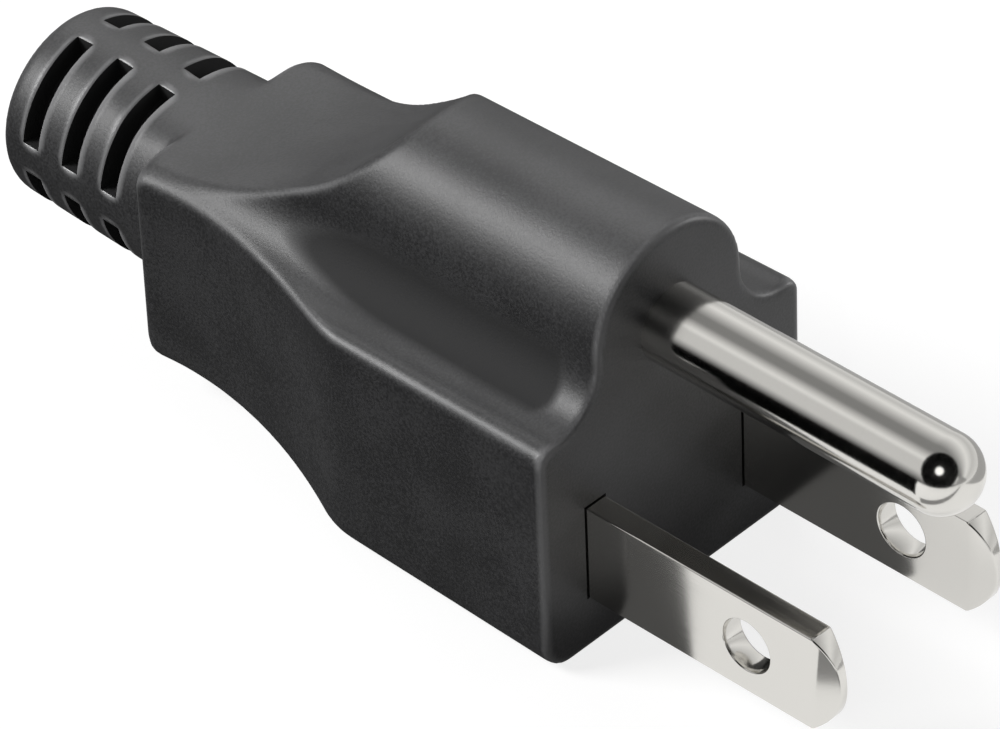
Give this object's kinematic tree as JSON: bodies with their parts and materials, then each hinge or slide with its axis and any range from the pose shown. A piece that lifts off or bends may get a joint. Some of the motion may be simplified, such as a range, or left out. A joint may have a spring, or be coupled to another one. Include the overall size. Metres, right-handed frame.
{
  "type": "neutral ground bonding plug",
  "caption": "Moulded plug with two flat blades and a round ground pin, finger scoops and a slotted tail, and an inner jumper from neutral to ground.",
  "frame": {"origin": "centre of the mating face, midway between the two blades", "axes": "-Y along the prongs, +Y along the tail, +Z towards the ground pin, +X towards the line blade"},
  "size_m": [0.021, 0.0689, 0.0251],
  "materials": {
    "black_pvc": "matte, finely textured flexible PVC, moulded",
    "carrier_plastic": "as moulded, hard PVC",
    "plated_blade": "bright nickel plating on stamped brass",
    "plated_pin": "bright nickel plating on turned brass",
    "copper_wire": "bare copper, drawn",
    "green_insulation": "green PVC wire insulation"
  },
  "bodies": {
    "root": {"overmould_body": "black_pvc", "prong_carrier": "carrier_plastic", "neutral_blade": "plated_blade", "line_blade": "plated_blade", "ground_pin": "plated_pin", "jumper_conductor": "copper_wire", "jumper_insulation": "green_insulation"}
  },
  "joints": []
}
